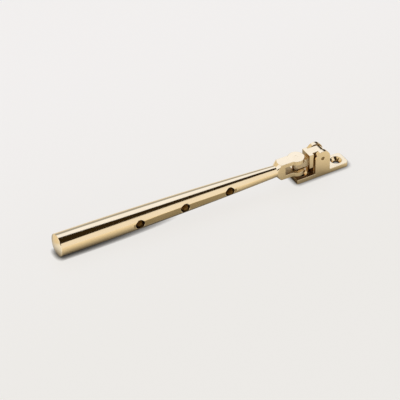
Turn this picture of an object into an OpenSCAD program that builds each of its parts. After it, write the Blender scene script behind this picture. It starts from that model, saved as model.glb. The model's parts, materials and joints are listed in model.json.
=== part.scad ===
// Casement stay: a tapered round bar on a two-way pivot bracket.
// The plate lies on the XY plane with the lug pin above the origin, and the bar runs towards -X.

/* [Mounting plate] */
// Length of the plate from the lug pin to its free end
plate_free_len = 19.4; // [18:0.1:30]
// Length of the plate from the lug pin to its end under the bar
plate_bar_len = 18.3; // [16.5:0.1:30]
// Width of the plate, which is also the width over the lugs
plate_w = 11.7; // [10:0.1:16]
// Thickness of the plate
plate_t = 3; // [2.5:0.1:4.5]
// Corner radius at the free end
plate_free_r = 2.5; // [0.5:0.1:4]
// Corner radius at the end under the bar
plate_bar_r = 0.5; // [0.2:0.1:4]

/* [Screw holes] */
// Clearance diameter for the screw shank
screw_d = 3.6; // [2.5:0.1:4.5]
// Diameter of the countersink at the plate's face
screw_head_d = 7.3; // [6:0.1:8]
// Depth of the countersink
screw_head_depth = 1.85; // [1.2:0.05:2.2]
// Distance from the lug pin to the screw at the free end
screw_free_x = 13.5; // [11:0.1:14]
// Distance from the lug pin to the screw under the bar
screw_bar_x = 12; // [10.5:0.1:12.5]

/* [Lugs] */
// Thickness of each lug
lug_t = 2.75; // [2:0.05:3.5]
// Radius of the rounded lug top
lug_r = 5.3; // [4.5:0.1:6]
// Height of the lug pin above the mounting surface
pin_h = 13; // [12:0.1:18]

/* [Pins] */
// Diameter of the pin across the lugs
lug_pin_d = 2.4; // [2:0.1:3]
// Diameter of the pin across the fork
fork_pin_d = 2.4; // [2:0.1:3]
// Interference on the radius where a pin is pressed in
pin_press = 0.005; // [0.001:0.001:0.01]
// Clearance on the radius where a piece turns on a pin
pin_run = 0.05; // [0.02:0.01:0.1]
// Depth of the lug pin's ends below the lugs' faces
lug_pin_recess = 0.3; // [0.05:0.05:0.5]
// Depth of the fork pin's ends below the cheeks' faces
fork_pin_recess = 0.05; // [0.05:0.05:0.5]

/* [Swivel block] */
// Width of the upright face plate
face_w = 8.75; // [7:0.05:11]
// Thickness of the upright face plate
face_t = 3.1; // [2:0.1:4]
// Height of the face plate below the lug pin
face_drop = 5.3; // [5:0.1:7]
// Gap between the face plate and the lugs
face_gap = 0.35; // [0.3:0.05:0.8]
// Radius of the knuckle, whose top is flush with the face plate's
knuckle_r = 4.6; // [3.8:0.1:5.2]
// Gap between the knuckle and each lug
knuckle_gap = 0.3; // [0.05:0.05:0.5]
// Width of the tongue, whose end is a full round
tongue_w = 5.4; // [4.4:0.1:6.4]
// Height of the tongue
tongue_h = 5.2; // [4:0.1:6]
// Gap between the tongue and the upper cheek
tongue_top_gap = 0.05; // [0.03:0.01:0.2]
// Gap between the tongue and the lower cheek
tongue_low_gap = 0.4; // [0.1:0.05:0.6]

/* [Fork] */
// Radius of the round fork end
boss_r = 5.3; // [4.6:0.1:6]
// Gap between the round fork end and the face plate
boss_gap = 1.85; // [1.5:0.05:4]
// Thickness of each cheek
cheek_t = 2.85; // [2:0.05:3.5]
// Depth of the slot from the fork pin to its end
slot_reach = 9.2; // [7:0.1:11]
// Width of the neck between the round fork end and the shoulder
neck_w = 7.3; // [6:0.1:9]
// Distance from the fork pin to the thin end of the bar
neck_len = 14.7; // [13.5:0.1:18]
// Half angle of the turned shoulder
shoulder_angle = 49; // [35:1:60]
// Drop of the bar's axis below the lug pin
fork_drop = 1.5; // [0.5:0.1:2]

/* [Bar] */
// Length of the round bar from the shoulder to the tail's edge
bar_len = 148.5; // [120:0.5:280]
// Diameter at the thin end
thin_d = 7.5; // [6.5:0.1:9]
// Diameter at the tail
tail_d = 14.6; // [12:0.1:18]
// Height of the domed tail
dome_h = 1.6; // [0.8:0.1:3]
// Radius of the tail's edge
tail_edge_r = 0.5; // [0.2:0.1:1]

/* [Peg holes] */
// Diameter of the peg holes
peg_d = 6; // [4:0.1:6.5]
// Number of peg holes
peg_count = 3; // [2:1:4]
// Distance from the tail's edge to the first peg hole
peg_first = 52.8; // [20:0.1:60]
// Distance between peg holes
peg_pitch = 31; // [15:0.1:32]
// Depth of the peg holes past the bar's axis, to their full width
peg_past_axis = 1.5; // [0.5:0.1:2]
// Height of the drill point at the bottom of the peg holes
peg_point = 1.7; // [0.5:0.1:2]
// Width of the chamfer at the mouth of each peg hole
peg_chamfer = 0.35; // [0.1:0.05:0.6]
// Depth of the milled flat at the first and the last peg hole
flat_depth = 0.15; // [0.05:0.01:0.4]
// Length of the flat past the middle of the end holes
flat_over = 4.5; // [3.5:0.1:8]

/* [Rest] */
// Swing of the bar to the far side of the plate's middle line
rest_swing = 3.2; // [-20:0.1:20]

/* [Hidden] */
$fn = 96;
brass = "#c8a55c";
pin_brass = "#b8934a";
cut = 1;
bar_steps = 24;
edge_steps = 6;
dome_steps = 14;

// Pivot bracket
lug_space = plate_w - 2 * lug_t;
knuckle_w = lug_space - 2 * knuckle_gap;
face_back_x = lug_r + face_gap;
face_mid_x = face_back_x + face_t / 2;
face_front_x = face_back_x + face_t;
fork_x = face_front_x + boss_gap + boss_r;
lug_pin_len = plate_w - 2 * lug_pin_recess;

// Fork
slot_h = tongue_h + tongue_top_gap + tongue_low_gap;
head_h = slot_h + 2 * cheek_t;
tongue_mid_z = (tongue_low_gap - tongue_top_gap) / 2;
fork_pin_len = head_h - 2 * fork_pin_recess;
head_corner_r = norm([boss_r, head_h / 2]) + cut;
shoulder_len = (head_corner_r - thin_d / 2) / tan(shoulder_angle);

// Tail: the dome's arc, the edge's arc and the bar's curve are tangent to each other
tail_z = neck_len + bar_len;
thin_r = thin_d / 2;
tail_r = tail_d / 2;
dome_r = (tail_r * tail_r + dome_h * dome_h) / (2 * dome_h);
dome_z = tail_z + dome_h - dome_r;
edge_r_mid = tail_r - tail_edge_r;
edge_z = dome_z + sqrt(pow(dome_r - tail_edge_r, 2) - pow(edge_r_mid, 2));
edge_angle = atan2(edge_z - dome_z, edge_r_mid);

// Peg holes
function bar_r(z) = tail_r - (tail_r - thin_r) * pow((edge_z - z) / (edge_z - neck_len), 2);
function peg_z(i) = tail_z - peg_first - i * peg_pitch;
flat_r_first = bar_r(peg_z(0)) - flat_depth;
flat_r_last = bar_r(peg_z(peg_count - 1)) - flat_depth;
flat_run = peg_z(0) - peg_z(peg_count - 1);
flat_slope = atan2(flat_r_first - flat_r_last, flat_run);
function flat_r(z) = flat_r_last + (z - peg_z(peg_count - 1)) * tan(flat_slope);

// Rest: the bracket turns about the lug pin until the tail's edge meets the mounting surface
tail_low = fork_drop + edge_r_mid;
tail_reach = fork_x + edge_z * cos(rest_swing);
rest_tilt = asin((pin_h - tail_edge_r) / norm([tail_low, tail_reach])) - atan2(tail_low, tail_reach);

// Places children, drawn about the lug pin, at the resting tilt
module at_lug_pin() {
    translate([0, 0, pin_h])
        rotate([0, -rest_tilt, 0])
            children();
}

// Places children, drawn about the fork pin with the bar along -X, at the resting swing
module at_fork_pin() {
    at_lug_pin()
        translate([-fork_x, 0, -fork_drop])
            rotate([0, 0, -rest_swing])
                children();
}

// Turns a shape drawn about Z so that its Z runs along the bar towards the tail
module along_bar() {
    rotate([0, -90, 0])
        children();
}

// Cylinder along Y through the origin
module cross_cylinder(r, len) {
    rotate([90, 0, 0])
        cylinder(r = r, h = len, center = true);
}

// Outline of the plate, with its two kinds of corner
module plate_outline() {
    union() {
        for (side = [-1, 1]) {
            translate([plate_free_len - plate_free_r, side * (plate_w / 2 - plate_free_r)])
                circle(r = plate_free_r);
            translate([-plate_bar_len + plate_bar_r, side * (plate_w / 2 - plate_bar_r)])
                circle(r = plate_bar_r);
        }
        translate([-plate_bar_len + plate_bar_r, -plate_w / 2])
            square([plate_bar_len + plate_free_len - plate_bar_r - plate_free_r, plate_w]);
        translate([-plate_bar_len, -plate_w / 2 + plate_bar_r])
            square([plate_bar_len, plate_w - 2 * plate_bar_r]);
        translate([0, -plate_w / 2 + plate_free_r])
            square([plate_free_len, plate_w - 2 * plate_free_r]);
    }
}

// Countersunk hole for a wood screw, with its head at the plate's face
module screw_hole(x) {
    translate([x, 0, -cut])
        cylinder(d = screw_d, h = plate_t + 2 * cut);
    translate([x, 0, plate_t - screw_head_depth])
        cylinder(d1 = screw_d, d2 = screw_head_d, h = screw_head_depth);
    translate([x, 0, plate_t])
        cylinder(d = screw_head_d, h = cut);
}

// Upright lug with a full-round top, flush with one side of the plate
module lug(side) {
    translate([0, side * (plate_w - lug_t) / 2, 0])
        rotate([90, 0, 0])
            linear_extrude(lug_t, center = true)
                union() {
                    translate([0, pin_h])
                        circle(r = lug_r);
                    translate([-lug_r, plate_t / 2])
                        square([2 * lug_r, pin_h - plate_t / 2]);
                }
}

// Plate and lugs, cast as one
module base_plate() {
    color(brass)
        difference() {
            union() {
                linear_extrude(plate_t)
                    plate_outline();
                for (side = [-1, 1])
                    lug(side);
            }
            screw_hole(screw_free_x);
            screw_hole(-screw_bar_x);
            translate([0, 0, pin_h])
                cross_cylinder(lug_pin_d / 2 - pin_press, plate_w + 2 * cut);
        }
}

// Pin pressed across the lugs
module lug_pin() {
    color(pin_brass)
        translate([0, 0, pin_h])
            cross_cylinder(lug_pin_d / 2, lug_pin_len);
}

// Knuckle between the lugs, round behind the pin and flat above and below it
module knuckle() {
    rotate([90, 0, 0])
        linear_extrude(knuckle_w, center = true)
            union() {
                circle(r = knuckle_r);
                translate([-face_mid_x, -knuckle_r])
                    square([face_mid_x, 2 * knuckle_r]);
            }
}

// Flat tongue with a full-round eye, joined to the front of the face plate
module tongue() {
    translate([0, 0, tongue_mid_z - fork_drop])
        linear_extrude(tongue_h, center = true)
            union() {
                translate([-fork_x, 0])
                    circle(d = tongue_w);
                translate([-fork_x, -tongue_w / 2])
                    square([fork_x - face_mid_x, tongue_w]);
            }
}

// Face plate, knuckle and tongue, cast as one
module swivel_block() {
    color(brass)
        at_lug_pin()
            difference() {
                union() {
                    translate([-face_front_x, -face_w / 2, -face_drop])
                        cube([face_t, face_w, face_drop + knuckle_r]);
                    knuckle();
                    tongue();
                }
                cross_cylinder(lug_pin_d / 2 + pin_run, plate_w);
                translate([-fork_x, 0, tongue_mid_z - fork_drop])
                    cylinder(d = fork_pin_d + 2 * pin_run, h = tongue_h + 2 * cut, center = true);
            }
}

// Pin pressed across the fork's cheeks
module fork_pin() {
    color(pin_brass)
        at_fork_pin()
            cylinder(d = fork_pin_d, h = fork_pin_len, center = true);
}

// Round bar with its swelling taper and domed tail, about Z from the shoulder
module round_bar() {
    bar_side = [
        for (i = [0 : bar_steps])
            let (z = neck_len + (edge_z - neck_len) * i / bar_steps)
                [bar_r(z), z]
    ];
    edge_arc = [
        for (i = [1 : edge_steps])
            let (a = edge_angle * i / edge_steps)
                [edge_r_mid + tail_edge_r * cos(a), edge_z + tail_edge_r * sin(a)]
    ];
    dome_arc = [
        for (i = [1 : dome_steps])
            let (a = edge_angle + (90 - edge_angle) * i / dome_steps)
                [dome_r * cos(a), dome_z + dome_r * sin(a)]
    ];
    rotate_extrude()
        polygon(concat([[0, neck_len - cut], [thin_r, neck_len - cut]], bar_side, edge_arc,
                       [for (p = dome_arc) [max(p[0], 0), p[1]]]));
}

// Flat-sided head: the plan of the neck and round end, turned to a cone at the shoulder
module fork_head() {
    intersection() {
        linear_extrude(head_h, center = true)
            union() {
                circle(r = boss_r);
                translate([-neck_len, -neck_w / 2])
                    square([neck_len, neck_w]);
            }
        along_bar()
            rotate_extrude()
                polygon([
                    [0, neck_len],
                    [thin_r, neck_len],
                    [head_corner_r, neck_len - shoulder_len],
                    [head_corner_r, -boss_r - cut],
                    [0, -boss_r - cut]
                ]);
    }
}

// Blind drilled peg hole with a chamfered mouth, entering from -Y at a distance along the bar
module peg_hole(z) {
    translate([-z, 0, 0])
        rotate([90, 0, 0]) {
            translate([0, 0, -peg_past_axis])
                cylinder(d = peg_d, h = peg_past_axis + tail_r + cut);
            translate([0, 0, -peg_past_axis - peg_point])
                cylinder(d1 = 0, d2 = peg_d, h = peg_point);
            translate([0, 0, flat_r(z) - peg_chamfer])
                cylinder(d1 = peg_d, d2 = peg_d + 2 * peg_chamfer + 2 * cut, h = peg_chamfer + cut);
        }
}

// Shallow flat along the row of peg holes, following the taper
module peg_flat() {
    translate([-peg_z(0), -flat_r_first, 0])
        rotate([0, 0, flat_slope])
            translate([-flat_over, -tail_r, -tail_r])
                cube([flat_run / cos(flat_slope) + 2 * flat_over, tail_r, tail_d]);
}

// Bar, shoulder and fork, made as one
module stay_bar() {
    color(brass)
        at_fork_pin()
            difference() {
                union() {
                    along_bar()
                        round_bar();
                    fork_head();
                }
                translate([-slot_reach, -boss_r - cut, -slot_h / 2])
                    cube([slot_reach + boss_r + cut, 2 * boss_r + 2 * cut, slot_h]);
                cylinder(d = fork_pin_d - 2 * pin_press, h = head_h + 2 * cut, center = true);
                peg_flat();
                for (i = [0 : peg_count - 1])
                    peg_hole(peg_z(i));
            }
}

base_plate();
lug_pin();
swivel_block();
fork_pin();
stay_bar();
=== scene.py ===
"""Casement stay in polished brass, dressed and lit for its studio picture."""

import json
import logging
import math
from dataclasses import dataclass, field
from enum import Enum
from functools import reduce
from typing import Callable, Iterable, Optional, Union

import bmesh
import bpy
from mathutils import Matrix, Vector


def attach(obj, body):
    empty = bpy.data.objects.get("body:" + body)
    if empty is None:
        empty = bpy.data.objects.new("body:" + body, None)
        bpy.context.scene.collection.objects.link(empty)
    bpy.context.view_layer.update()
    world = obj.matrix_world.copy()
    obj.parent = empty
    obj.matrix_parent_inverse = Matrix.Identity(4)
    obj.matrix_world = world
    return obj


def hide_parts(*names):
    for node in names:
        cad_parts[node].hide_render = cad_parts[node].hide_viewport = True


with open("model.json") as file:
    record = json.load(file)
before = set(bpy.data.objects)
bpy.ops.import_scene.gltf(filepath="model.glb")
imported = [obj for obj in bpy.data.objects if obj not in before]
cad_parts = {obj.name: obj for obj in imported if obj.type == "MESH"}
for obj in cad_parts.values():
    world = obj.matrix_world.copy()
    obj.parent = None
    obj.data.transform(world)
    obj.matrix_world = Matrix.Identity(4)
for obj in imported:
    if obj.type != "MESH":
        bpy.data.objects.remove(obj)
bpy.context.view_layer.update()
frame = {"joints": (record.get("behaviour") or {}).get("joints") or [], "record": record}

LOG = logging.getLogger("casement_stay")

MM = 0.001
SHARP_ANGLE = math.radians(35.0)
FLAT_ANGLE = math.radians(0.4)
REST_SWING = math.radians(3.2)

# Reach in millimetres for merging vertices, and past a face's edge when faces are picked
WELD = 0.0005
SLACK = 0.05

# Share of a unit normal along an axis that tells faces apart when they are picked
FACING = 0.9
SQUARE_ON = 0.99
UPRIGHT = 0.5

Span = tuple[float, float]
Point = tuple[float, float, float]
Colour = tuple[float, float, float]
Socket = Union[float, bpy.types.NodeSocket]


class Body(Enum):
    """The moving bodies that a piece can ride on."""

    BRACKET = "bracket"
    SWIVEL = "swivel"
    BAR = "bar"


class Slot(Enum):
    """The record's material slots."""

    CAST = "cast_brass"
    TURNED = "turned_brass"
    PIN = "pin_brass"


class Face(Enum):
    """What a face looks like, by the place of its finish in the piece's list."""

    POLISHED = 0
    # Brass darkened with painted shade, for bores, recesses and faces under other parts
    PAINTED_SHADE = 1
    # Satin milled brass darkened with painted shade, for the milled flat and its holes and for the face
    # plate's side towards the fork
    MILLED_PAINTED_SHADE = 2
    SATIN = 3


class Step(Enum):
    """How a tool acts on a casting."""

    JOIN = "UNION"
    CUT = "DIFFERENCE"
    KEEP = "INTERSECT"


class Axis(Enum):
    """The direction that a rod or a pin runs along."""

    Y = (0.0, 1.0, 0.0)
    Z = (0.0, 0.0, 1.0)

    def turn(self, start: Point) -> Matrix:
        """Rotation that carries a direction onto this axis."""
        return Vector(start).rotation_difference(Vector(self.value)).to_matrix().to_4x4()


class Casting:
    """One metal piece in millimetres, built up by joining and cutting simple forms."""

    def __init__(self, bm: bmesh.types.BMesh) -> None:
        """Takes over a bmesh."""
        self.bm = bm

    @classmethod
    def block(cls, low: Point, high: Point) -> "Casting":
        """Makes a square-edged block.

        Args:
            low: Its lowest corner.
            high: Its highest corner.

        Returns:
            The block.
        """
        bm = bmesh.new()
        bmesh.ops.create_cube(bm, size=1.0)
        span = Vector(high) - Vector(low)
        bmesh.ops.scale(bm, verts=bm.verts[:], vec=span)
        bmesh.ops.translate(bm, verts=bm.verts[:], vec=Vector(low) + span / 2)
        return cls(bm)

    @classmethod
    def rod(cls, radius: float, length: float, axis: Axis, sides: int = 96) -> "Casting":
        """Makes a rod centred on the origin.

        Args:
            radius: Its radius.
            length: Length along the axis.
            axis: Direction of its length.
            sides: Number of sides.

        Returns:
            The rod.
        """
        bm = bmesh.new()
        bmesh.ops.create_cone(
            bm, cap_ends=True, cap_tris=False, segments=sides, radius1=radius, radius2=radius, depth=length
        )
        bmesh.ops.transform(bm, matrix=axis.turn((0.0, 0.0, 1.0)), verts=bm.verts[:])
        return cls(bm)

    @classmethod
    def round_end(cls, radius: float, depth: float, reach: float, sides: int = 96) -> "Casting":
        """Makes a flat bar of even depth along Z, with a full-round end about the origin.

        Args:
            radius: Radius of the round end, half the bar's width.
            depth: Thickness along Z.
            reach: Length from the round end's middle to the square end, towards -X.
            sides: Number of sides of a whole circle.

        Returns:
            The bar.
        """
        bm = cls.rod(radius, depth, Axis.Z, sides).bm
        whole = bm.verts[:] + bm.edges[:] + bm.faces[:]
        halved = bmesh.ops.bisect_plane(
            bm, geom=whole, dist=WELD, plane_co=(0, 0, 0), plane_no=(-1, 0, 0), clear_outer=True
        )
        rim = [part for part in halved["geom_cut"] if isinstance(part, bmesh.types.BMEdge)]
        grown = bmesh.ops.extrude_edge_only(bm, edges=rim)
        ends = [part for part in grown["geom"] if isinstance(part, bmesh.types.BMVert)]
        bmesh.ops.translate(bm, verts=ends, vec=(-reach, 0, 0))
        bmesh.ops.holes_fill(bm, edges=bm.edges[:], sides=0)
        bmesh.ops.recalc_face_normals(bm, faces=bm.faces[:])
        return cls(bm)

    @classmethod
    def turned(cls, profile: Iterable[tuple[float, float]], sides: int = 160) -> "Casting":
        """Turns a profile about the X axis, as on a lathe.

        Args:
            profile: Distance along -X and radius of each point, from one end of the axis to the other.
            sides: Number of sides.

        Returns:
            The closed turning.
        """
        bm = bmesh.new()
        chain = [bm.verts.new((-along, 0.0, radius)) for along, radius in profile]
        edges = [bm.edges.new(pair) for pair in zip(chain, chain[1:])]
        whole = {"angle": 2 * math.pi, "steps": sides, "use_merge": True}
        bmesh.ops.spin(bm, geom=chain + edges, cent=(0, 0, 0), axis=(1, 0, 0), **whole)
        bmesh.ops.remove_doubles(bm, verts=bm.verts[:], dist=WELD)
        bmesh.ops.recalc_face_normals(bm, faces=bm.faces[:])
        return cls(bm)

    def place(self, matrix: Matrix) -> "Casting":
        """Moves the casting by a matrix."""
        bmesh.ops.transform(self.bm, matrix=matrix, verts=self.bm.verts[:])
        return self

    def shift(self, x: float = 0.0, y: float = 0.0, z: float = 0.0) -> "Casting":
        """Moves the casting along the axes."""
        bmesh.ops.translate(self.bm, verts=self.bm.verts[:], vec=(x, y, z))
        return self

    def work(self, tool: "Casting", step: Step) -> "Casting":
        """Joins, cuts or trims this casting with a tool, which is used up.

        Args:
            tool: The other form.
            step: What to do with it.

        Returns:
            This casting, changed.
        """
        pair = [self.to_object(self.bm, "work"), self.to_object(tool.bm, "tool")]
        modifier = pair[0].modifiers.new("work", "BOOLEAN")
        modifier.object = pair[1]
        modifier.operation = step.value
        modifier.solver = "EXACT"
        depsgraph = bpy.context.evaluated_depsgraph_get()
        result = bpy.data.meshes.new_from_object(pair[0].evaluated_get(depsgraph))
        self.bm.clear()
        self.bm.from_mesh(result)
        tool.bm.free()
        bpy.data.meshes.remove(result)
        for loan in pair:
            mesh = loan.data
            bpy.data.objects.remove(loan)
            bpy.data.meshes.remove(mesh)
        bmesh.ops.remove_doubles(self.bm, verts=self.bm.verts[:], dist=WELD)
        return self

    @staticmethod
    def to_object(bm: bmesh.types.BMesh, name: str) -> bpy.types.Object:
        """Makes an object of a bmesh.

        Args:
            bm: The bmesh.
            name: The object's name.

        Returns:
            The object, linked into the scene.
        """
        mesh = bpy.data.meshes.new(name)
        bm.to_mesh(mesh)
        made = bpy.data.objects.new(name, mesh)
        bpy.context.scene.collection.objects.link(made)
        return made

    def flatten(self, inside: Callable[[Vector], bool] = lambda place: True) -> "Casting":
        """Merges faces that lie in one plane.

        Args:
            inside: Says whether a vertex at a place takes part.

        Returns:
            This casting, changed.
        """
        verts = [vert for vert in self.bm.verts if inside(vert.co)]
        edges = [edge for edge in self.bm.edges if all(inside(vert.co) for vert in edge.verts)]
        bmesh.ops.dissolve_limit(
            self.bm, angle_limit=FLAT_ANGLE, use_dissolve_boundaries=False, verts=verts, edges=edges
        )
        return self

    def soften(
        self, width: float, segments: int = 3, inside: Callable[[Vector], bool] = lambda place: True
    ) -> "Casting":
        """Rounds the sharp edges.

        Args:
            width: Width of the rounding.
            segments: Number of faces across it.
            inside: Says whether an edge with its middle at a place is rounded.

        Returns:
            This casting, changed.
        """
        sharp = [
            edge
            for edge in self.bm.edges
            if len(edge.link_faces) == 2
            and edge.calc_face_angle() > SHARP_ANGLE
            and inside((edge.verts[0].co + edge.verts[1].co) / 2)
        ]
        bmesh.ops.bevel(
            self.bm,
            geom=sharp,
            offset=width,
            offset_type="OFFSET",
            affect="EDGES",
            segments=segments,
            profile=0.5,
            material=-1,
            clamp_overlap=False,
            loop_slide=True,
        )
        bmesh.ops.remove_doubles(self.bm, verts=self.bm.verts[:], dist=WELD)
        return self

    def score(self, x: float) -> "Casting":
        """Cuts the faces along a plane across X, without taking anything away.

        Args:
            x: Where the plane lies.

        Returns:
            This casting, changed.
        """
        whole = self.bm.verts[:] + self.bm.edges[:] + self.bm.faces[:]
        bmesh.ops.bisect_plane(self.bm, geom=whole, dist=WELD, plane_co=(x, 0, 0), plane_no=(1, 0, 0))
        return self

    def assign(self, finish: Face, inside: Callable[[Vector, Vector], bool]) -> "Casting":
        """Gives some faces another of the piece's finishes.

        Args:
            finish: Which one.
            inside: Says whether a face with its middle at a place and a normal takes it.

        Returns:
            This casting, changed.
        """
        self.bm.normal_update()
        for face in self.bm.faces:
            if inside(face.calc_center_median(), face.normal):
                face.material_index = finish.value
        return self

    def finish(self, name: str, place: Matrix) -> bpy.types.Object:
        """Makes the casting a smooth-shaded object in the part's frame, in metres.

        Args:
            name: The object's name.
            place: Where the drawing's own frame lies, in millimetres.

        Returns:
            The new object, at the origin.
        """
        self.place(Matrix.Scale(MM, 4) @ place)
        bmesh.ops.recalc_face_normals(self.bm, faces=self.bm.faces[:])
        piece = self.to_object(self.bm, name)
        self.bm.free()
        piece.data.shade_smooth()
        piece.data.set_sharp_from_angle(angle=SHARP_ANGLE)
        weighted = piece.modifiers.new("even faces", "WEIGHTED_NORMAL")
        weighted.mode = "FACE_AREA"
        weighted.weight = 50
        weighted.keep_sharp = True
        return piece


class NodeDesk:
    """Adds and joins nodes in one node tree."""

    # Numbers of a Mix node's sockets for colours
    COLOUR_INPUTS = (6, 7)
    COLOUR_OUTPUT = 2

    def __init__(self, tree: bpy.types.NodeTree) -> None:
        """Starts on a node tree."""
        self.tree = tree

    def add(self, kind: str, **settings: object) -> bpy.types.Node:
        """Adds a node.

        Args:
            kind: Its type.
            settings: Values of its properties.

        Returns:
            The node.
        """
        node = self.tree.nodes.new(kind)
        for key, value in settings.items():
            setattr(node, key, value)
        return node

    def feed(self, socket: bpy.types.NodeSocket, value: Union[Socket, Colour, Point]) -> None:
        """Gives an input its value.

        Args:
            socket: The input.
            value: The output to link into it, or a value of its own.
        """
        if isinstance(value, bpy.types.NodeSocket):
            self.tree.links.new(value, socket)
        else:
            socket.default_value = value

    def fill(self, node: bpy.types.Node, inputs: dict[str, Union[Socket, Colour, Point]]) -> None:
        """Gives a node's inputs their values by name."""
        for name, value in inputs.items():
            self.feed(node.inputs[name], value)

    def math(self, operation: str, *values: Socket, clamp: bool = False) -> bpy.types.NodeSocket:
        """Adds a Math node.

        Args:
            operation: Its operation.
            values: Its inputs, sockets or numbers.
            clamp: Whether the result stays between 0 and 1.

        Returns:
            Its output.
        """
        node = self.add("ShaderNodeMath", operation=operation, use_clamp=clamp)
        for socket, value in zip(node.inputs, values):
            self.feed(socket, value)
        return node.outputs[0]

    def times(self, *values: Socket) -> bpy.types.NodeSocket:
        """Multiplies two or more values, from first to last."""
        return reduce(lambda product, value: self.math("MULTIPLY", product, value), values)

    def fade(self, value: Socket, start: float, end: float) -> bpy.types.NodeSocket:
        """Adds a smooth step.

        Args:
            value: What it follows.
            start: Where it is 0.
            end: Where it is 1.

        Returns:
            The step, from 0 to 1.
        """
        node = self.add("ShaderNodeMapRange", interpolation_type="SMOOTHSTEP", clamp=True)
        for socket, item in zip(node.inputs, (value, start, end, 0.0, 1.0)):
            self.feed(socket, item)
        return node.outputs[0]

    def bareness(self, reach: float, power: float) -> bpy.types.NodeSocket:
        """Adds an Ambient Occlusion node.

        Args:
            reach: Distance within which other surfaces count, in metres.
            power: Power that the open share is raised to.

        Returns:
            How open a place is, from 0 to 1.
        """
        node = self.add("ShaderNodeAmbientOcclusion", samples=8)
        node.inputs["Distance"].default_value = reach
        return self.math("POWER", node.outputs["AO"], power)

    def blend(
        self, share: Socket, first: Union[Colour, Socket], second: Union[Colour, Socket]
    ) -> bpy.types.NodeSocket:
        """Adds a colour Mix node.

        Args:
            share: Share of the second colour.
            first: First colour.
            second: Second colour.

        Returns:
            The mixed colour.
        """
        node = self.add("ShaderNodeMix", data_type="RGBA", blend_type="MIX", clamp_factor=True)
        self.feed(node.inputs[0], share)
        for place, value in zip(self.COLOUR_INPUTS, (first, second)):
            linked = isinstance(value, bpy.types.NodeSocket)
            self.feed(node.inputs[place], value if linked else (*value, 1.0))
        return node.outputs[self.COLOUR_OUTPUT]

    def noise(
        self, vector: Socket, scale: Socket, detail: float, roughness: float = 0.5
    ) -> bpy.types.NodeSocket:
        """Adds a Noise texture.

        Args:
            vector: Its coordinates.
            scale: Its scale.
            detail: Number of its octaves.
            roughness: Weight of each octave against the one before.

        Returns:
            Its value, from 0 to 1.
        """
        node = self.add("ShaderNodeTexNoise", noise_dimensions="3D")
        self.fill(node, {"Vector": vector, "Scale": scale, "Detail": detail, "Roughness": roughness})
        return node.outputs["Fac"]


class SharedEffects:
    """Shader node groups that more than one finish uses, each built once."""

    _made: dict[str, bpy.types.NodeTree] = {}

    @classmethod
    def _start(cls, name: str, inputs: dict[str, str], outputs: dict[str, str]) -> Optional[NodeDesk]:
        """Starts a group with named sockets, unless it is made already.

        Args:
            name: The group's name.
            inputs: Socket type of each input.
            outputs: Socket type of each output.

        Returns:
            A desk on the new group, or None.
        """
        if name in cls._made:
            return None
        tree = bpy.data.node_groups.new(name, "ShaderNodeTree")
        for direction, sockets in (("INPUT", inputs), ("OUTPUT", outputs)):
            for socket, kind in sockets.items():
                tree.interface.new_socket(socket, in_out=direction, socket_type=kind)
        cls._made[name] = tree
        return NodeDesk(tree)

    @classmethod
    def buffing(cls) -> bpy.types.NodeTree:
        """Fine polishing lines and a faint haze, from a stretched coordinate.

        Returns:
            A group with the inputs Vector, Line Scale and Haze Scale and the outputs Height and Haze.
        """
        name = "buffing"
        desk = cls._start(
            name,
            {"Vector": "NodeSocketVector", "Line Scale": "NodeSocketFloat", "Haze Scale": "NodeSocketFloat"},
            {"Height": "NodeSocketFloat", "Haze": "NodeSocketFloat"},
        )
        if desk:
            inlet = desk.add("NodeGroupInput")
            outlet = desk.add("NodeGroupOutput")
            vector, line_scale, haze_scale = inlet.outputs[:3]
            lines = desk.noise(vector, line_scale, detail=3.0, roughness=0.6)
            haze = desk.noise(vector, haze_scale, detail=4.0, roughness=0.55)
            desk.fill(outlet, {"Height": lines, "Haze": desk.fade(haze, start=0.35, end=0.7)})
        return cls._made[name]

    @classmethod
    def warmth(cls) -> bpy.types.NodeTree:
        """Slow clouds between a clean tone and a slightly tarnished one.

        Returns:
            A group with the inputs Vector, Scale, Clean and Tarnished and the output Tone.
        """
        name = "warmth"
        desk = cls._start(
            name,
            {
                "Vector": "NodeSocketVector",
                "Scale": "NodeSocketFloat",
                "Clean": "NodeSocketColor",
                "Tarnished": "NodeSocketColor",
            },
            {"Tone": "NodeSocketColor"},
        )
        if desk:
            inlet = desk.add("NodeGroupInput")
            outlet = desk.add("NodeGroupOutput")
            vector, scale, clean, tarnished = inlet.outputs[:4]
            clouds = desk.noise(vector, scale, detail=3.0)
            share = desk.fade(clouds, start=0.35, end=0.75)
            desk.fill(outlet, {"Tone": desk.blend(share, clean, tarnished)})
        return cls._made[name]


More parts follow.
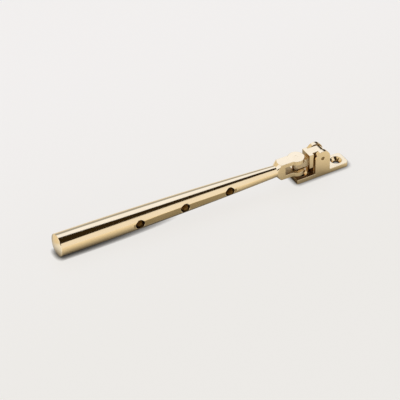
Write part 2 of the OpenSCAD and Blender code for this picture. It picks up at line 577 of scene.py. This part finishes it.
@dataclass(frozen=True)
class BrassFinish:
    """Polished brass with its own tone, polish direction and sharpness of reflection."""

    name: str
    clean: Colour
    tarnished: Colour
    stretch: Point = (1.0, 1.0, 1.0)
    turn: float = 0.0
    smoothness: float = 0.07
    haze: float = 0.05
    line_scale: float = 900.0
    line_depth: float = 0.02
    line_height: float = MM / 4
    haze_spread: float = 8.0
    cloud_scale: float = 60.0

    def material(self) -> bpy.types.Material:
        """Builds the material.

        Returns:
            A node material on Object coordinates.
        """
        material = bpy.data.materials.new(self.name)
        material.use_nodes = True
        desk = NodeDesk(material.node_tree)
        shader = material.node_tree.nodes["Principled BSDF"]
        coords = desk.add("ShaderNodeTexCoord").outputs["Object"]
        along = desk.add("ShaderNodeMapping")
        desk.fill(along, {"Vector": coords, "Rotation": (0.0, 0.0, self.turn), "Scale": self.stretch})
        buffing = desk.add("ShaderNodeGroup", node_tree=SharedEffects.buffing())
        scales = {"Line Scale": self.line_scale, "Haze Scale": self.line_scale / self.haze_spread}
        desk.fill(buffing, {"Vector": along.outputs[0], **scales})
        warmth = desk.add("ShaderNodeGroup", node_tree=SharedEffects.warmth())
        tones = {"Clean": (*self.clean, 1.0), "Tarnished": (*self.tarnished, 1.0)}
        desk.fill(warmth, {"Vector": coords, "Scale": self.cloud_scale, **tones})
        dulled = desk.math("MULTIPLY_ADD", buffing.outputs["Haze"], self.haze, self.smoothness)
        bump = desk.add("ShaderNodeBump")
        relief = {"Strength": self.line_depth, "Distance": self.line_height}
        desk.fill(bump, {"Height": buffing.outputs["Height"], **relief})
        desk.fill(shader, {"Metallic": 1.0, "Base Color": warmth.outputs["Tone"]})
        desk.fill(shader, {"Roughness": dulled, "Normal": bump.outputs[0]})
        return material


class RestFrames:
    """Where the drawing frames of the swivel and the bar lie at rest, in millimetres."""

    def __init__(self, record: dict, joints: list[dict]) -> None:
        """Reads the pins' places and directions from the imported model.

        Args:
            record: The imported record.
            joints: Its joints.
        """
        by_name = {joint["name"]: joint for joint in joints}
        mounts = {mount["name"]: mount for mount in record["mounts"]}
        self.lug_pin = Vector(by_name["lift"]["pos_m"]) / MM
        self.fork_pin = Vector(by_name["swing"]["pos_m"]) / MM
        self.up = Vector(by_name["swing"]["axis"]).normalized()
        pegs = [mounts[name] for name in sorted(mounts) if name.startswith("peg_hole")]
        self.peg_way = Vector(pegs[0]["axis"]).normalized()
        self.peg_middles = [Vector(peg["pos_m"]) / MM for peg in pegs]

    @staticmethod
    def _frame(origin: Vector, across: Vector, up: Vector) -> Matrix:
        """Builds a matrix.

        Args:
            origin: Its origin.
            across: Direction of its Y axis.
            up: Direction of its Z axis.

        Returns:
            The matrix.
        """
        along = across.cross(up).normalized()
        turn = Matrix((along, across, up)).transposed().to_4x4()
        return Matrix.Translation(origin) @ turn

    def bracket(self) -> Matrix:
        """The bracket's frame, which is the part's own."""
        return Matrix.Identity(4)

    def swivel(self) -> Matrix:
        """The swivel block's frame, about the lug pin."""
        return self._frame(self.lug_pin, Vector((0.0, 1.0, 0.0)), self.up)

    def bar(self) -> Matrix:
        """The bar's frame, about the fork pin with the bar along -X."""
        return self._frame(self.fork_pin, -self.peg_way, self.up)

    def peg_places(self) -> list[float]:
        """Distance of each peg hole from the fork pin, along the bar."""
        inverse = self.bar().inverted()
        return [-(inverse @ middle).x for middle in self.peg_middles]


@dataclass
class Pin:
    """Plain pin with softened ends, and with riveting dimples unless their depth is 0. In millimetres."""

    radius: float = 1.2
    chamfer: float = 0.15
    dimple_r: float = 0.75
    dimple_depth: float = 0.35

    def build(self, length: float, axis: Axis) -> Casting:
        """Builds the pin about the origin.

        Args:
            length: Its length.
            axis: Its direction.

        Returns:
            The pin.
        """
        half = length / 2
        tip = half - self.dimple_depth
        profile = [
            (-tip, 0.0),
            (-half, self.dimple_r),
            (-half, self.radius - self.chamfer),
            (-half + self.chamfer, self.radius),
            (half - self.chamfer, self.radius),
            (half, self.radius - self.chamfer),
            (half, self.dimple_r),
            (tip, 0.0),
        ]
        return Casting.turned(profile, sides=48).place(axis.turn((1.0, 0.0, 0.0)))


@dataclass
class PivotBracket:
    """Screw-on plate with its two upright lugs, and the pin across them. Sizes in millimetres."""

    frames: RestFrames
    finishes: list[bpy.types.Material]
    pinned: bpy.types.Material
    free_len: float = 19.4
    bar_len: float = 18.3
    width: float = 11.7
    thickness: float = 3.0
    free_r: float = 2.5
    bar_r: float = 0.5
    screw_r: float = 1.8
    head_r: float = 3.65
    head_depth: float = 1.85
    screw_places: Span = (13.5, -12.0)
    lug_t: float = 2.75
    lug_r: float = 5.3
    pin_recess: float = 0.3
    edge: float = 0.22
    pin: Pin = field(default_factory=Pin)

    def _plate(self) -> Casting:
        """Builds the plate with its rounded corners.

        Returns:
            The plate, before its holes.
        """
        half = self.width / 2
        plate = Casting.block((-self.bar_len, -half, 0.0), (self.free_len, half, self.thickness))
        for sign, radius in ((1.0, self.free_r), (-1.0, self.bar_r)):
            corners = [
                edge
                for edge in plate.bm.edges
                if all(vert.co.x * sign > 0 for vert in edge.verts)
                and abs(edge.verts[0].co.z - edge.verts[1].co.z) > self.thickness / 2
            ]
            bmesh.ops.bevel(
                plate.bm,
                geom=corners,
                offset=radius,
                offset_type="OFFSET",
                affect="EDGES",
                segments=14,
                profile=0.5,
                material=-1,
            )
        return plate

    def _lug(self, side: float) -> Casting:
        """Builds one lug, flush with a side of the plate.

        Args:
            side: Which side, -1 or 1 along Y.

        Returns:
            The lug.
        """
        height = self.frames.lug_pin.z
        lug = Casting.round_end(self.lug_r, self.lug_t, height - self.thickness / 2)
        upright = Matrix(((0, -1, 0, 0), (0, 0, -1, 0), (1, 0, 0, 0), (0, 0, 0, 1)))
        return lug.place(upright).shift(y=side * (self.width - self.lug_t) / 2, z=height)

    def _screw_hole(self, place: float) -> Casting:
        """Builds the form of one countersunk screw hole.

        Args:
            place: Where it lies along X.

        Returns:
            The cutter.
        """
        over = 1.0
        slope = (self.head_r - self.screw_r) / self.head_depth
        profile = [
            (-self.thickness - over, 0.0),
            (-self.thickness - over, self.head_r + over * slope),
            (-self.thickness + self.head_depth, self.screw_r),
            (over, self.screw_r),
            (over, 0.0),
        ]
        hole = Casting.turned(profile, sides=96)
        upright = Matrix.Rotation(-math.pi / 2, 4, "Y")
        return hole.place(upright).shift(x=place)

    def _is_painted_shade(self, place: Vector, normal: Vector) -> bool:
        """Says whether a face lies in a bore, between the lugs or under the fork, where its brass is
        darkened with painted shade.

        Args:
            place: The face's middle.
            normal: Its normal.

        Returns:
            Whether it does.
        """
        if any(math.hypot(place.x - x, place.y) < self.screw_r + SLACK for x in self.screw_places):
            return True
        between = abs(place.y) < self.width / 2 - self.lug_t + SLACK and abs(place.x) < self.lug_r
        under = place.x < -self.lug_r + SLACK and (normal.z > FACING or normal.x < -FACING)
        return (between and place.z > self.thickness - SLACK) or under

    def build_plate(self) -> bpy.types.Object:
        """Builds the plate and lugs as one casting.

        Returns:
            The finished piece.
        """
        plate = self._plate()
        for side in (-1.0, 1.0):
            plate.work(self._lug(side), Step.JOIN)
        for place in self.screw_places:
            plate.work(self._screw_hole(place), Step.CUT)
        bore = Casting.rod(self.pin.radius, 2 * self.width, Axis.Y, sides=64).shift(z=self.frames.lug_pin.z)
        plate.work(bore, Step.CUT)
        plate.flatten().soften(self.edge)
        # Painted shade in the bores, between the lugs and under the fork
        plate.assign(Face.PAINTED_SHADE, self._is_painted_shade)
        return plate.finish("pivot_plate", self.frames.bracket())

    def build_pin(self) -> bpy.types.Object:
        """Builds the pin across the lugs.

        Returns:
            The finished piece.
        """
        pin = self.pin.build(self.width - 2 * self.pin_recess, Axis.Y)
        return pin.finish("hinge_pin", Matrix.Translation(self.frames.lug_pin))

    def dress(self) -> list[bpy.types.Object]:
        """Builds and finishes both pieces.

        Returns:
            The pieces.
        """
        plate = settle(self.build_plate(), self.finishes, Body.BRACKET, "base_plate")
        # The lug pin's brass is darkened with painted shade
        pin = settle(self.build_pin(), [self.pinned], Body.BRACKET, "lug_pin")
        return [plate, pin]


@dataclass
class SwivelBlock:
    """Face plate with its knuckle between the lugs and its tongue in the fork. Sizes in millimetres."""

    frames: RestFrames
    finishes: list[bpy.types.Material]
    face_w: float = 8.75
    face_back: float = 5.65
    face_t: float = 3.1
    face_drop: float = 5.3
    knuckle_r: float = 4.6
    knuckle_w: float = 5.6
    tongue_w: float = 5.4
    tongue_h: float = 5.2
    tongue_rise: float = 0.175
    bore_r: float = 1.25
    edge: float = 0.2

    def _is_painted_shade(self, place: Vector, normal: Vector) -> bool:
        """Says whether a face lies behind or under the face plate, where its brass is darkened with painted
        shade.
        """
        behind = place.x > -self.face_back - SLACK and (abs(normal.y) > FACING or place.z < 0.0)
        return behind or normal.z < -FACING or (normal.x > FACING and place.x < -self.face_back + SLACK)

    def _is_fork_side_painted_shade(self, place: Vector, normal: Vector) -> bool:
        """Says whether a face is the face plate's side towards the fork, which takes the milled brass as
        painted shade.
        """
        return normal.x < -FACING and place.x > -self.face_back - self.face_t - SLACK

    def _is_tongue(self, place: Vector, normal: Vector) -> bool:
        """Says whether a face is an upright one of the tongue."""
        return place.x < -self.face_back - self.face_t - SLACK and abs(normal.z) < UPRIGHT

    def build(self) -> bpy.types.Object:
        """Builds the block.

        Returns:
            The finished piece.
        """
        front = self.face_back + self.face_t
        middle = self.face_back + self.face_t / 2
        fork = self.frames.swivel().inverted() @ self.frames.fork_pin
        half = self.face_w / 2
        block = Casting.block((-front, -half, -self.face_drop), (-self.face_back, half, self.knuckle_r))
        knuckle = Casting.round_end(self.knuckle_r, self.knuckle_w, self.face_back)
        block.work(knuckle.place(Matrix.Rotation(math.pi / 2, 4, "X")), Step.JOIN)
        tongue = Casting.round_end(self.tongue_w / 2, self.tongue_h, -fork.x - middle)
        tongue.place(Matrix.Rotation(math.pi, 4, "Z")).shift(x=fork.x, z=fork.z + self.tongue_rise)
        block.work(tongue, Step.JOIN)
        block.work(Casting.rod(self.bore_r, 4 * self.knuckle_w, Axis.Y, sides=64), Step.CUT)
        eye = Casting.rod(self.bore_r, 2 * self.tongue_h, Axis.Z, sides=64).shift(x=fork.x, z=fork.z)
        block.work(eye, Step.CUT)
        block.flatten().soften(self.edge)
        # Painted shade behind and under the face plate
        block.assign(Face.PAINTED_SHADE, self._is_painted_shade)
        # Painted shade on the face plate's side towards the fork
        block.assign(Face.MILLED_PAINTED_SHADE, self._is_fork_side_painted_shade)
        block.assign(Face.SATIN, self._is_tongue)
        return block.finish("swivel_casting", self.frames.swivel())

    def dress(self) -> list[bpy.types.Object]:
        """Builds and finishes the block.

        Returns:
            The piece, in a list.
        """
        return [settle(self.build(), self.finishes, Body.SWIVEL, "swivel_block")]


@dataclass
class StayBar:
    """Tapered round bar with a domed tail, peg holes and a forked head, and its pin. In millimetres."""

    frames: RestFrames
    finishes: list[bpy.types.Material]
    pinned: bpy.types.Material
    neck_len: float = 14.7
    length: float = 148.5
    thin_r: float = 3.75
    tail_r: float = 7.3
    dome_h: float = 1.6
    tail_edge_r: float = 0.5
    boss_r: float = 5.3
    head_h: float = 11.35
    neck_w: float = 7.3
    shoulder_angle: float = math.radians(49.0)
    slot_reach: float = 9.2
    slot_h: float = 5.65
    tongue_end: float = 2.7
    peg_r: float = 3.0
    peg_past_axis: float = 1.5
    peg_point: float = 1.7
    lip: float = 0.45
    lip_turn: float = math.radians(60.0)
    flat_depth: float = 0.15
    flat_over: float = 4.5
    pin_recess: float = 0.05
    edge: float = 0.2
    over: float = 1.0
    head_margin: float = 0.1
    bore_margin: float = 1.1
    bar_steps: int = 64
    arc_steps: int = 10
    dome_steps: int = 24
    lip_steps: int = 6
    pin: Pin = field(default_factory=lambda: Pin(chamfer=0.03, dimple_depth=0.0))

    def __post_init__(self) -> None:
        """Works out the tail's tangent arcs and the head's envelope."""
        self.tail = self.neck_len + self.length
        self.dome_r = (self.tail_r**2 + self.dome_h**2) / (2 * self.dome_h)
        self.dome_at = self.tail + self.dome_h - self.dome_r
        self.edge_mid_r = self.tail_r - self.tail_edge_r
        self.edge_at = self.dome_at + math.sqrt((self.dome_r - self.tail_edge_r) ** 2 - self.edge_mid_r**2)
        self.edge_turn = math.atan2(self.edge_at - self.dome_at, self.edge_mid_r)
        self.corner_r = math.hypot(self.boss_r, self.head_h / 2) + self.over
        self.shoulder = (self.corner_r - self.thin_r) / math.tan(self.shoulder_angle)

    def radius_at(self, along: float) -> float:
        """Radius of the swelling bar at a distance from the fork pin."""
        share = (self.edge_at - along) / (self.edge_at - self.neck_len)
        return self.tail_r - (self.tail_r - self.thin_r) * share**2

    def _turning(self) -> Casting:
        """Turns the whole envelope: head, shoulder cone, bar, edge and dome.

        Returns:
            The turning.
        """
        profile = [
            (-self.boss_r - self.over, 0.0),
            (-self.boss_r - self.over, self.corner_r),
            (self.neck_len - self.shoulder, self.corner_r),
        ]
        for step in range(self.bar_steps + 1):
            along = self.neck_len + (self.edge_at - self.neck_len) * step / self.bar_steps
            profile.append((along, self.radius_at(along)))
        for step in range(1, self.arc_steps + 1):
            turn = self.edge_turn * step / self.arc_steps
            along = self.edge_at + self.tail_edge_r * math.sin(turn)
            profile.append((along, self.edge_mid_r + self.tail_edge_r * math.cos(turn)))
        for step in range(1, self.dome_steps + 1):
            turn = self.edge_turn + (math.pi / 2 - self.edge_turn) * step / self.dome_steps
            along = self.dome_at + self.dome_r * math.sin(turn)
            profile.append((along, max(self.dome_r * math.cos(turn), 0.0)))
        return Casting.turned(profile)

    def _head_plan(self) -> Casting:
        """Builds the head's flat-sided plan, with the whole bar left standing beyond it.

        Returns:
            The form that the turning is trimmed to.
        """
        half = self.head_h / 2
        plan = Casting.rod(self.boss_r, self.head_h, Axis.Z, sides=128)
        neck = Casting.block((-self.neck_len, -self.neck_w / 2, -half), (0.0, self.neck_w / 2, half))
        plan.work(neck, Step.JOIN)
        wide = 2 * self.tail_r
        beyond = Casting.block((-self.tail - wide, -wide, -wide), (-self.neck_len, wide, wide))
        return plan.work(beyond, Step.JOIN)

    def _peg_flat(self, pegs: list[float]) -> tuple[Casting, Callable[[float], float]]:
        """Builds the cutter of the shallow flat along the row of holes.

        Args:
            pegs: Distances of the holes along the bar.

        Returns:
            The cutter, and the flat's distance from the axis as a function of the distance along the bar.
        """
        first, last = pegs[0], pegs[-1]
        near = self.radius_at(first) - self.flat_depth
        far = self.radius_at(last) - self.flat_depth
        slope = (near - far) / (first - last)
        run = math.hypot(near - far, first - last)
        tall = 2 * self.tail_r
        cutter = Casting.block((-self.flat_over, -tall, -tall), (run + self.flat_over, 0.0, tall))
        cutter.place(Matrix.Rotation(math.atan(slope), 4, "Z")).shift(x=-first, y=-near)
        return cutter, lambda along: far + (along - last) * slope

    def _peg_hole(self, along: float, face: float) -> Casting:
        """Builds the form of one blind hole with a softly rounded lip.

        Args:
            along: Its distance along the bar.
            face: Distance of the flat from the bar's axis.

        Returns:
            The cutter.
        """
        profile = [(self.peg_past_axis + self.peg_point, 0.0), (self.peg_past_axis, self.peg_r)]
        for step in range(self.lip_steps + 1):
            turn = self.lip_turn * step / self.lip_steps
            depth = self.lip - face - self.lip * math.sin(turn)
            radius = self.peg_r + self.lip * (1 - math.cos(turn))
            profile.append((depth, radius))
        profile.append((depth - self.over, radius + self.over * math.tan(self.lip_turn)))
        profile.append((depth - self.over, 0.0))
        hole = Casting.turned(profile, sides=96)
        return hole.place(Matrix.Rotation(-math.pi / 2, 4, "Z")).shift(x=-along)

    def _is_cut(self, place: Vector, normal: Vector, pegs: list[float]) -> bool:
        """Says whether a face lies on the shallow flat along the row of holes, or in a hole; these take the
        milled brass, darkened with painted shade.

        Args:
            place: The face's middle.
            normal: Its normal.
            pegs: Distances of the holes along the bar.

        Returns:
            Whether it does.
        """
        within = any(math.hypot(place.x + along, place.z) < self.peg_r + SLACK for along in pegs)
        if within and place.y < self.peg_past_axis + self.peg_point:
            return True
        along = pegs[-1] - self.flat_over < -place.x < pegs[0] + self.flat_over
        return along and normal.y < -SQUARE_ON and place.y < -self.thin_r / 2

    def _is_painted_shade(self, place: Vector, normal: Vector) -> bool:
        """Says whether a face lies at the slot's blind end, where its brass is darkened with painted shade.
        """
        deep = -self.slot_reach - SLACK < place.x < -self.tongue_end
        return deep and abs(place.z) < self.slot_h / 2 + SLACK

    def _is_head(self, place: Vector) -> bool:
        """Says whether a place lies on the head."""
        return place.x > -self.neck_len + self.head_margin

    def _is_head_edge(self, place: Vector) -> bool:
        """Says whether a place lies on the head and away from the pin's bore."""
        return self._is_head(place) and place.xy.length > self.bore_margin * self.pin.radius

    def build_bar(self) -> bpy.types.Object:
        """Builds the bar with its head.

        Returns:
            The finished piece.
        """
        bar = self._turning().work(self._head_plan(), Step.KEEP)
        wide = 2 * self.boss_r
        slot = Casting.block((-self.slot_reach, -wide, -self.slot_h / 2), (wide, wide, self.slot_h / 2))
        bar.work(slot, Step.CUT)
        bar.work(Casting.rod(self.pin.radius, 2 * self.head_h, Axis.Z, sides=64), Step.CUT)
        bar.flatten(self._is_head).soften(self.edge, inside=self._is_head_edge)
        bar.score(-self.tongue_end)
        pegs = self.frames.peg_places()
        cutter, face = self._peg_flat(pegs)
        bar.work(cutter, Step.CUT)
        for along in pegs:
            bar.work(self._peg_hole(along, face(along)), Step.CUT)
        # The milled flat and the peg holes, in brass darkened with painted shade
        bar.assign(Face.MILLED_PAINTED_SHADE, lambda place, normal: self._is_cut(place, normal, pegs))
        # Painted shade at the slot's blind end
        bar.assign(Face.PAINTED_SHADE, self._is_painted_shade)
        return bar.finish("tapered_bar", self.frames.bar())

    def build_pin(self) -> bpy.types.Object:
        """Builds the pin across the fork.

        Returns:
            The finished piece.
        """
        pin = self.pin.build(self.head_h - 2 * self.pin_recess, Axis.Z)
        return pin.finish("fork_rivet", self.frames.bar())

    def dress(self) -> list[bpy.types.Object]:
        """Builds and finishes both pieces.

        Returns:
            The pieces.
        """
        bar = settle(self.build_bar(), self.finishes, Body.BAR, "stay_bar")
        pin = settle(self.build_pin(), [self.pinned], Body.BAR, "fork_pin")
        return [bar, pin]


def settle(
    piece: bpy.types.Object, finishes: list[bpy.types.Material], body: Body, node: str
) -> bpy.types.Object:
    """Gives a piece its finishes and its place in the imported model.

    Args:
        piece: The piece.
        finishes: Its materials, in the order that its faces number them.
        body: The body it rides on.
        node: The node that it stands for.

    Returns:
        The piece.
    """
    places = [polygon.material_index for polygon in piece.data.polygons]
    piece.data.materials.clear()
    for finish in finishes:
        piece.data.materials.append(finish)
    piece.data.polygons.foreach_set("material_index", places)
    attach(piece, body.value)
    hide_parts(node)
    return piece


@dataclass
class Studio:
    """Pale floor, soft banded light and the camera. Angles in degrees, lengths in metres."""

    # Floor and its paper
    floor_half: float = 6.0
    floor_gap: float = 0.02 * MM
    floor_tone: Colour = (0.1, 0.085, 0.057)
    floor_gloss: float = 0.4
    floor_shine: float = 0.08
    mottle_scale: float = 4.0
    mottle_detail: float = 2.0
    mottle_share: float = 0.985

    # Glow of the paper as the camera sees it, with a painted contact shadow near the part
    near_glow: Colour = (0.86, 0.843, 0.818)
    far_glow: Colour = (0.903, 0.884, 0.881)
    far_y: Span = (-0.12, 0.2)
    seen_glow: float = 0.9
    contact_painted_shadow_reach: float = 0.003
    contact_painted_shadow_power: float = 2.0

    # Glow of the paper as the metal mirrors it: a painted pool of light left of the tail, a painted shadow
    # behind the tail and near the part, and dimmer far behind
    mirrored_glow: float = 1.0
    mirrored_tone: Colour = (0.92, 0.93, 0.9)
    left_painted_light_tone: Colour = (1.08, 1.25, 1.6)
    left_painted_light_x: Span = (-0.178, -0.188)
    left_painted_light_y: Span = (0.026, 0.014)
    rear_painted_shadow_dim: float = 0.45
    rear_painted_shadow_x: Span = (-0.165, -0.175)
    rear_painted_shadow_end_x: Span = (-0.186, -0.181)
    rear_painted_shadow_y: Span = (0.016, 0.03)
    behind_glow: float = 0.35
    behind_y: Span = (0.4, 0.15)
    mirrored_painted_shadow_reach: float = 0.08
    mirrored_painted_shadow_power: float = 2.6

    # Camera
    aim: Point = (-0.0817, 0.0048, 0.0060)
    azimuth: float = -30.6
    elevation: float = 38.0
    lens: float = 300.0
    sensor: float = 36.0
    view_width: float = 0.2438
    clip_end: float = 100.0

    # Colours of the bands of light
    gap_light: Colour = (0.035, 0.024, 0.01)
    front_light: Colour = (1.14, 1.24, 1.48)
    box_light: Colour = (1.25, 1.5, 2.2)
    back_light: Colour = (0.46, 0.54, 0.7)
    wall_light: Colour = (0.95, 0.93, 0.86)
    ring_light: Colour = (0.85, 0.84, 0.82)

    # Their edges: turns about the part's length, from the front over the top, and X of the unit direction
    front_top: float = 63.0
    front_rise: float = 147.0
    front_x: float = 0.4
    front_reach: Span = (-0.27, 0.05)
    box_low: float = 106.0
    box_drop: float = 14.0
    drop_x: Span = (0.29, 0.335)
    box_lift: float = 9.0
    lift_x: Span = (0.37, 0.43)
    soft: Span = (-2.5, 2.5)
    back_turn: Span = (137.5, 146.5)
    ring_turn: Span = (164.0, 174.0)
    right_x: Span = (0.62, 0.54)
    wall_x: Span = (-0.05, -0.2)
    window_x: Span = (-0.76, -0.84)
    wall_turn: Span = (62.0, 70.0)

    def add_floor(self) -> bpy.types.Object:
        """Lays the floor just under the part.

        Returns:
            The floor.
        """
        bm = bmesh.new()
        bmesh.ops.create_grid(bm, x_segments=1, y_segments=1, size=self.floor_half)
        bmesh.ops.translate(bm, verts=bm.verts[:], vec=(0, 0, -self.floor_gap))
        floor = Casting.to_object(bm, "floor")
        bm.free()
        floor.data.materials.append(self.paper())
        return floor

    def paper(self) -> bpy.types.Material:
        """Builds the floor's pale satin paper, with one glow for the camera and another for the metal, both
        with painted shadow near the part, and the metal's with a painted pool of light and a painted shadow
        behind the tail.

        Returns:
            The material.
        """
        material = bpy.data.materials.new("satin_paper")
        material.use_nodes = True
        desk = NodeDesk(material.node_tree)
        shader = material.node_tree.nodes["Principled BSDF"]
        coords = desk.add("ShaderNodeTexCoord").outputs["Object"]
        split = desk.add("ShaderNodeSeparateXYZ")
        desk.feed(split.inputs[0], coords)
        x, y = split.outputs[:2]
        mottle = desk.noise(coords, self.mottle_scale, self.mottle_detail)
        darker = tuple(value * self.mottle_share for value in self.floor_tone)
        paper = desk.blend(desk.fade(y, *self.far_y), self.near_glow, self.far_glow)
        # Painted pool of light on the floor left of the tail, seen only in the metal
        left = desk.times(desk.fade(x, *self.left_painted_light_x), desk.fade(y, *self.left_painted_light_y))
        tone = desk.blend(left, self.mirrored_tone, self.left_painted_light_tone)
        # Painted shadow of the tail on the floor behind it, seen only in the metal
        rear_painted_shadow = desk.times(desk.fade(x, *self.rear_painted_shadow_x), self.rear_painted_shadow_dim, desk.fade(y, *self.rear_painted_shadow_y))
        rear_painted_shadow = desk.times(rear_painted_shadow, desk.fade(x, *self.rear_painted_shadow_end_x))
        behind = desk.fade(y, *self.behind_y)
        behind = desk.math("MULTIPLY_ADD", behind, 1.0 - self.behind_glow, self.behind_glow)
        # Painted shadow near other surfaces and behind the tail, on the glow that the metal mirrors
        bare = desk.bareness(self.mirrored_painted_shadow_reach, self.mirrored_painted_shadow_power)
        bare = desk.times(bare, desk.math("SUBTRACT", behind, rear_painted_shadow))
        path = desk.add("ShaderNodeLightPath").outputs
        mirrored = desk.times(path["Is Glossy Ray"], desk.times(bare, self.mirrored_glow))
        seen = desk.math("ADD", path["Is Camera Ray"], path["Is Transmission Ray"], clamp=True)
        # Painted contact shadow: the glow the camera sees darkens close to other surfaces
        seen = desk.times(seen, desk.bareness(self.contact_painted_shadow_reach, self.contact_painted_shadow_power))
        desk.fill(
            shader,
            {
                "Base Color": desk.blend(mottle, self.floor_tone, darker),
                "Roughness": self.floor_gloss,
                "Specular IOR Level": self.floor_shine,
                "Emission Color": desk.blend(path["Is Glossy Ray"], paper, tone),
                "Emission Strength": desk.math("MULTIPLY_ADD", seen, self.seen_glow, mirrored),
            },
        )
        return material

    def add_light(self) -> None:
        """Builds the world from bands of light about the part's length.

        From the front over the top these are a pale front, a dark gap, a softbox, a dim back and a low
        ring, with a wall and its window at the left.
        """
        world = bpy.data.worlds.new("studio")
        bpy.context.scene.world = world
        world.use_nodes = True
        desk = NodeDesk(world.node_tree)
        background = world.node_tree.nodes["Background"]
        direction = desk.add("ShaderNodeTexCoord").outputs["Generated"]
        split = desk.add("ShaderNodeSeparateXYZ")
        desk.feed(split.inputs[0], direction)
        along, across, up = split.outputs
        turn = desk.math("DEGREES", desk.math("ARCTAN2", up, desk.math("MULTIPLY", across, -1.0)))
        least, most = self.front_reach
        offset = desk.math("MINIMUM", desk.math("SUBTRACT", along, self.front_x), most)
        offset = desk.math("MAXIMUM", offset, least)
        front_edge = desk.math("MULTIPLY_ADD", offset, self.front_rise, self.front_top)
        drop, lift = desk.fade(along, *self.drop_x), desk.fade(along, *self.lift_x)
        box_edge = desk.math("MULTIPLY_ADD", drop, -self.box_drop, self.box_low)
        box_edge = desk.math("MULTIPLY_ADD", lift, self.box_lift, box_edge)
        front = desk.fade(desk.math("SUBTRACT", front_edge, turn), *self.soft)
        box = desk.fade(desk.math("SUBTRACT", turn, box_edge), *self.soft)
        right, high = desk.fade(along, *self.right_x), desk.fade(turn, *self.wall_turn)
        light = self.gap_light
        for share, colour in (
            (front, self.front_light),
            (desk.times(box, right), self.box_light),
            (desk.times(desk.fade(turn, *self.back_turn), right), self.back_light),
            (desk.times(desk.fade(along, *self.wall_x), high), self.wall_light),
            (desk.times(desk.fade(turn, *self.ring_turn), right), self.ring_light),
            (desk.times(desk.fade(along, *self.window_x), high), self.box_light),
        ):
            light = desk.blend(share, light, colour)
        desk.fill(background, {"Color": light, "Strength": 1.0})

    def add_camera(self) -> bpy.types.Object:
        """Sets the camera at the picture's angle.

        Returns:
            The camera.
        """
        data = bpy.data.cameras.new("camera")
        data.sensor_width = self.sensor
        data.lens = self.lens
        data.clip_end = self.clip_end
        camera = bpy.data.objects.new("camera", data)
        bpy.context.scene.collection.objects.link(camera)
        azimuth, elevation = math.radians(self.azimuth), math.radians(self.elevation)
        back = Vector(
            (
                math.sin(azimuth) * math.cos(elevation),
                -math.cos(azimuth) * math.cos(elevation),
                math.sin(elevation),
            )
        )
        distance = self.view_width * self.lens / self.sensor
        camera.location = Vector(self.aim) + back * distance
        camera.rotation_euler = back.to_track_quat("Z", "Y").to_euler()
        bpy.context.scene.camera = camera
        return camera

    def set_up(self) -> None:
        """Builds the whole studio."""
        self.add_floor()
        self.add_light()
        self.add_camera()
        bpy.context.scene.view_settings.view_transform = "Standard"


CAST_BRASS = BrassFinish(
    name="cast_brass",
    clean=(0.78, 0.575, 0.315),
    tarnished=(0.745, 0.54, 0.28),
    stretch=(1.0, 1.0, 0.35),
    smoothness=0.09,
)
TURNED_BRASS = BrassFinish(
    name="turned_brass",
    clean=(0.78, 0.575, 0.315),
    tarnished=(0.755, 0.55, 0.295),
    stretch=(0.06, 1.0, 1.0),
    turn=REST_SWING,
    smoothness=0.06,
)
# Painted shade: the lug pin darkened to stand in for the shadow in its recessed ends
PAINTED_SHADE_PIN_BRASS = BrassFinish(
    name="pin_brass",
    clean=(0.24, 0.15, 0.055),
    tarnished=(0.2, 0.12, 0.04),
    smoothness=0.25,
)
# Painted shade: brass darkened for bores, recesses and faces between or under other parts
PAINTED_SHADE_BRASS = BrassFinish(
    name="painted_shade_brass",
    clean=(0.42, 0.265, 0.105),
    tarnished=(0.35, 0.21, 0.075),
    smoothness=0.38,
    haze=0.15,
)
# Milled satin brass, darkened with painted shade
MILLED_PAINTED_SHADE_BRASS = BrassFinish(
    name="milled_painted_shade_brass",
    clean=(0.42, 0.295, 0.14),
    tarnished=(0.36, 0.245, 0.105),
    stretch=(0.06, 1.0, 1.0),
    turn=REST_SWING,
    smoothness=0.22,
)
SATIN_BRASS = BrassFinish(
    name="satin_brass",
    clean=(0.74, 0.575, 0.35),
    tarnished=(0.7, 0.53, 0.31),
    stretch=(1.0, 1.0, 0.35),
    smoothness=0.5,
)


def main() -> None:
    """Builds the stay piece by piece, then its studio, and logs each piece's number of faces."""
    logging.basicConfig(level=logging.INFO, format="%(name)s: %(message)s")
    frames = RestFrames(frame["record"], frame["joints"])
    finishes = (CAST_BRASS, TURNED_BRASS, PAINTED_SHADE_PIN_BRASS, PAINTED_SHADE_BRASS, MILLED_PAINTED_SHADE_BRASS, SATIN_BRASS)
    # Three of these are darkened with painted shade: the recess brass, the milled brass and the lug pin's
    # brass
    cast, turned, pinned, painted_shade, milled_painted_shade, satin = (finish.material() for finish in finishes)
    for assembly in (
        PivotBracket(frames, [cast, painted_shade], pinned),
        SwivelBlock(frames, [cast, painted_shade, milled_painted_shade, satin]),
        StayBar(frames, [turned, painted_shade, milled_painted_shade], turned),
    ):
        for piece in assembly.dress():
            LOG.info("%s: %d faces", piece.name, len(piece.data.polygons))
    Studio().set_up()


if __name__ == "__main__":
    main()
